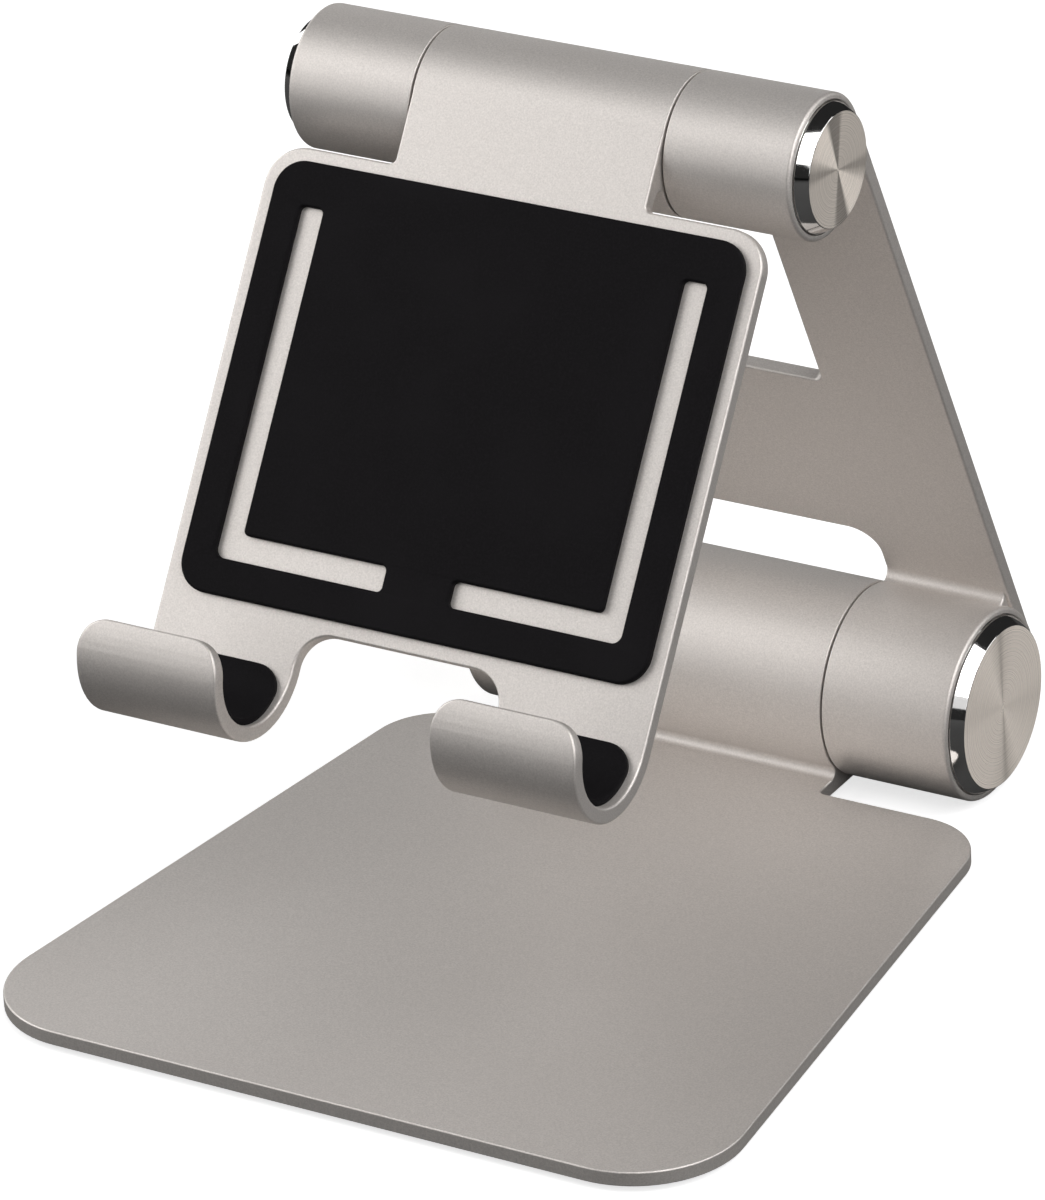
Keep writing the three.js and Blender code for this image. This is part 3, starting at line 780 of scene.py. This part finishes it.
def polymer_material():
    material, tree, shader = new_material("black_polymer")
    mottle = noise(tree, scale=1500, detail=3)
    tone_and_roughness(tree, shader, mottle, dark=(0.012, 0.012, 0.013), light=(0.03, 0.03, 0.032),
                       smooth=0.4, rough=0.55)
    bump(tree, shader, mottle, strength=0.2, distance=0.00002)
    return material


# ---- The room ----

# The camera was fitted to the photograph, together with the stand's proportions.
CAMERA_PLACE = (0.60104, -0.97464, 0.62088)
CAMERA_AZIMUTH = math.radians(31.883)
CAMERA_ELEVATION = math.radians(26.342)
CAMERA_ROLL = math.radians(-3.152)
CAMERA_LENS = 245.34
SENSOR_WIDTH = 36


def direction(azimuth, elevation):
    """A unit vector. Azimuth 0 is -Y and is positive towards +X."""
    return Vector((math.sin(azimuth) * math.cos(elevation), -math.cos(azimuth) * math.cos(elevation),
                   math.sin(elevation)))


def camera():
    """The photograph's view: its direction first, then its slight roll about that direction."""
    back = direction(CAMERA_AZIMUTH, CAMERA_ELEVATION)
    level = Vector((math.cos(CAMERA_AZIMUTH), math.sin(CAMERA_AZIMUTH), 0))
    upwards = back.cross(level)
    right = level * math.cos(CAMERA_ROLL) + upwards * math.sin(CAMERA_ROLL)
    up = back.cross(right)
    data = bpy.data.cameras.new("camera")
    data.lens = CAMERA_LENS
    data.sensor_width = SENSOR_WIDTH
    data.clip_start, data.clip_end = 0.05, 20
    viewer = bpy.data.objects.new("camera", data)
    viewer.matrix_world = Matrix.Translation(CAMERA_PLACE) @ Matrix((right, up, back)).transposed().to_4x4()
    bpy.context.scene.collection.objects.link(viewer)
    bpy.context.scene.camera = viewer


FLOOR_HALF = 6
FLOOR_IN_METAL = (0.06, 0.06, 0.06, 1)
FLOOR_GLOW = 0.72


def floor():
    """White where the camera sees it, as in the photograph, but dark in the metal: the room below is dim."""
    mesh = bpy.data.meshes.new("floor")
    half = FLOOR_HALF
    corners = [(-half, -half, 0), (half, -half, 0), (half, half, 0), (-half, half, 0)]
    mesh.from_pydata(corners, [], [(0, 1, 2, 3)])
    piece = bpy.data.objects.new("floor", mesh)
    bpy.context.scene.collection.objects.link(piece)
    material, tree, shader = new_material("pale_floor")
    tree.nodes.remove(shader)
    dim = tree.nodes.new("ShaderNodeBsdfDiffuse")
    dim.inputs["Color"].default_value = FLOOR_IN_METAL
    paper = tree.nodes.new("ShaderNodeBsdfDiffuse")
    tone = blend_colours(tree, noise(tree, scale=12, detail=3), (0.5, 0.5, 0.5), (0.52, 0.52, 0.52))
    tree.links.new(tone, paper.inputs["Color"])
    glow = tree.nodes.new("ShaderNodeEmission")
    glow.inputs["Strength"].default_value = FLOOR_GLOW
    lit = tree.nodes.new("ShaderNodeAddShader")
    tree.links.new(paper.outputs["BSDF"], lit.inputs[0])
    tree.links.new(glow.outputs["Emission"], lit.inputs[1])
    path = tree.nodes.new("ShaderNodeLightPath")
    chosen = tree.nodes.new("ShaderNodeMixShader")
    tree.links.new(path.outputs["Is Camera Ray"], chosen.inputs["Fac"])
    tree.links.new(dim.outputs["BSDF"], chosen.inputs[1])
    tree.links.new(lit.outputs["Shader"], chosen.inputs[2])
    tree.links.new(chosen.outputs["Shader"], tree.nodes["Material Output"].inputs["Surface"])
    mesh.materials.append(material)


# Each softbox: azimuth (0 is -Y, positive towards +X), elevation, width, height and brightness. The
# brightnesses came from a least-squares program that compared test renders with tones in the photograph.
SOFTBOXES = {
    "key": (-38, 38, 0.5, 0.4, 1.38),
    "key_low": (-38, 8, 0.6, 0.3, 2.67),
    "front_low": (-62, 12, 0.5, 0.3, 2.07),
    "left_front": (-70, 30, 1.0, 0.8, 3.63),
    "left_rear": (-125, 20, 0.8, 0.5, 1.76),
    "right_low": (60, 8, 0.6, 0.2, 2.0),
    "right_front": (60, 25, 1.0, 0.7, 0.8),
    "right_high": (52, 42, 1.0, 0.9, 3.05),
    "right_above": (85, 50, 0.9, 0.6, 3.43),
    "right_rear": (120, 20, 0.8, 0.5, 3.0),
    "glint": (52, 42, 0.28, 0.6, 2.5),
    "rear_low": (-150, 8, 0.9, 0.2, 1.21),
    "rear_high": (-150, 60, 0.6, 0.5, 0.18),
}
SOFTBOX_DISTANCE = 1.3
LIGHTS_AIM = Vector((0, 0, 0.08))
ROOM_COLOUR = (0.02, 0.02, 0.02, 1)


def softbox(name, azimuth, elevation, width, height, brightness):
    towards = direction(math.radians(azimuth), math.radians(elevation))
    data = bpy.data.lights.new(name, "AREA")
    data.shape = "RECTANGLE"
    data.size, data.size_y = width, height
    data.energy = brightness * math.pi * width * height
    light = bpy.data.objects.new(name, data)
    light.location = LIGHTS_AIM + towards * SOFTBOX_DISTANCE
    light.rotation_euler = towards.to_track_quat("Z", "Y").to_euler()
    bpy.context.scene.collection.objects.link(light)


def surroundings():
    """A dim room: nearly all the light comes from the softboxes."""
    world = bpy.data.worlds.new("room")
    bpy.context.scene.world = world
    world.use_nodes = True
    background = world.node_tree.nodes["Background"]
    background.inputs["Color"].default_value = ROOM_COLOUR
    background.inputs["Strength"].default_value = 1


# ---- Building ----

aluminium = satin_aluminium_material()
rubber = rubber_material("black_rubber", (0.0035, 0.003, 0.0036), (0.008, 0.0072, 0.0082), 2600)
foot_rubber = rubber_material("foot_rubber", (0.014, 0.014, 0.014), (0.035, 0.035, 0.035), 1800)
chrome = chrome_material()
# The turned faces' materials carry painted highlight wedges as well as their real rings.
spun = {"upper": spun_material_with_painted_wedges("spun_face_painted_wedges_upper", UPPER_PAINTED_WEDGES),
        "lower": spun_material_with_painted_wedges("spun_face_painted_wedges_lower", LOWER_PAINTED_WEDGES)}
steel = steel_material()
bronze = bronze_material()
polymer = polymer_material()

base_piece()
for foot_place in FOOT_PLACES:
    foot_piece(foot_place)
arm_piece()
cradle_piece()
pad_piece()

INNER_PIECES = (
    ("thrust_washer", False, "black_polymer", polymer),
    ("bush", True, "bush_bronze", bronze),
    ("friction_disc", True, "bush_bronze", bronze),
    ("disc_spring", False, "shaft_steel", steel),
    ("pressure_washer", False, "shaft_steel", steel),
)
for side, side_name in ((1, "right"), (-1, "left")):
    liner_piece(side, side_name)
    cap_piece(LOWER, side, side_name, in_lower)
    cap_piece(UPPER, side, side_name, in_upper_ear)
    for hinge, holder in ((LOWER, "base"), (UPPER, "cradle")):
        for kind, on_arm, slot, material in INNER_PIECES:
            inner_piece(hinge, kind, side_name, "arm" if on_arm else holder, material)
for name, node in frame["nodes"].items():
    if name.endswith("_shaft") or "_nut_" in name:
        node.data.materials.clear()
        node.data.materials.append(steel)

camera()
floor()
surroundings()
for name, setting in SOFTBOXES.items():
    softbox(name, *setting)
bpy.context.scene.view_settings.view_transform = "Standard"
